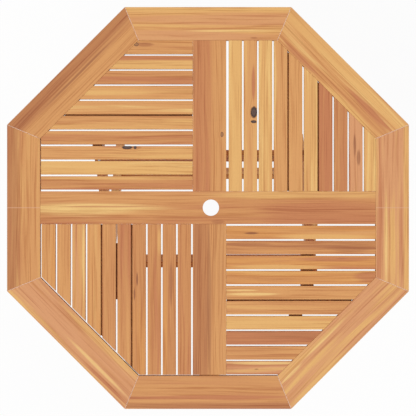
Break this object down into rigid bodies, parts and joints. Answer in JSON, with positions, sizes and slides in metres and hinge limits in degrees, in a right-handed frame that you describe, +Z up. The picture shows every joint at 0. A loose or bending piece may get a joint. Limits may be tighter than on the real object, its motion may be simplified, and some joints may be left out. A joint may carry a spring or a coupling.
{
  "type": "folding garden table",
  "caption": "Octagonal slatted wooden garden table with a parasol hole, on crossed legs that fold flat under the top.",
  "frame": {"origin": "on the ground, under the middle of the octagonal top", "axes": "+Z up, +X east along the cross rail, +Y north towards the hinged side of the legs"},
  "size_m": [1.2, 1.2, 0.75],
  "materials": {
    "rim_boards": "oiled, satin",
    "rails": "oiled, satin",
    "slats": "oiled, satin",
    "leg_frames": "oiled, satin",
    "blocks": "oiled, satin",
    "steel_fittings": "zinc plated"
  },
  "bodies": {
    "table_top": {"cross_rail": "rails", "hinge_bracket_left": "steel_fittings", "hinge_bracket_right": "steel_fittings", "hinge_cleat_left": "blocks", "ne_slat_01": "slats", "ne_slat_02": "slats", "ne_slat_03": "slats", "ne_slat_08": "slats", "ne_slat_09": "slats", "ne_slat_10": "slats", "ne_slats_04_05_on_batten": "slats", "ne_slats_06_07_on_batten": "slats", "north_rail": "rails", "nw_slat_01": "slats", "nw_slat_02": "slats", "nw_slat_03": "slats", "nw_slat_04": "slats", "nw_slat_07": "slats", "nw_slat_08": "slats", "nw_slat_09": "slats", "nw_slat_10": "slats", "nw_slats_05_06_on_batten": "slats", "rest_block_left": "blocks", "rest_block_right": "blocks", "rim_east": "rim_boards", "rim_north": "rim_boards", "rim_north_east": "rim_boards", "rim_north_west": "rim_boards", "rim_south": "rim_boards", "rim_south_east": "rim_boards", "rim_south_west": "rim_boards", "rim_west": "rim_boards", "se_slat_01": "slats", "se_slat_02": "slats", "se_slat_03": "slats", "se_slat_04": "slats", "se_slat_07": "slats", "se_slat_08": "slats", "se_slat_09": "slats", "se_slat_10": "slats", "se_slats_05_06_on_batten": "slats", "slat_cleat_right": "blocks", "south_rail": "rails", "sw_slat_01": "slats", "sw_slat_02": "slats", "sw_slat_03": "slats", "sw_slat_08": "slats", "sw_slat_09": "slats", "sw_slat_10": "slats", "sw_slats_04_05_on_batten": "slats", "sw_slats_06_07_on_batten": "slats"},
    "outer_leg_frame": {"outer_frame_top_bar": "leg_frames", "outer_leg_left": "leg_frames", "outer_leg_right": "leg_frames", "scissor_bolt_left": "steel_fittings", "scissor_bolt_right": "steel_fittings"},
    "inner_leg_frame": {"inner_frame_foot_bar": "leg_frames", "inner_frame_top_bar": "leg_frames", "inner_leg_left": "leg_frames", "inner_leg_right": "leg_frames"}
  },
  "joints": [
    {"name": "leg_fold", "type": "hinge", "parent": "table_top", "child": "outer_leg_frame", "pos_m": [0.007, 0.195, 0.66082], "axis": [-1, 0, 0], "range_deg": [0, 57.5]},
    {"name": "scissor_pivot", "type": "hinge", "parent": "outer_leg_frame", "child": "inner_leg_frame", "pos_m": [0.007, 0, 0.35473], "axis": [1, 0, 0], "range_deg": [0, 115]}
  ],
  "couplings": [
    {"joint": "scissor_pivot", "follows": "leg_fold", "ratio": 2}
  ]
}
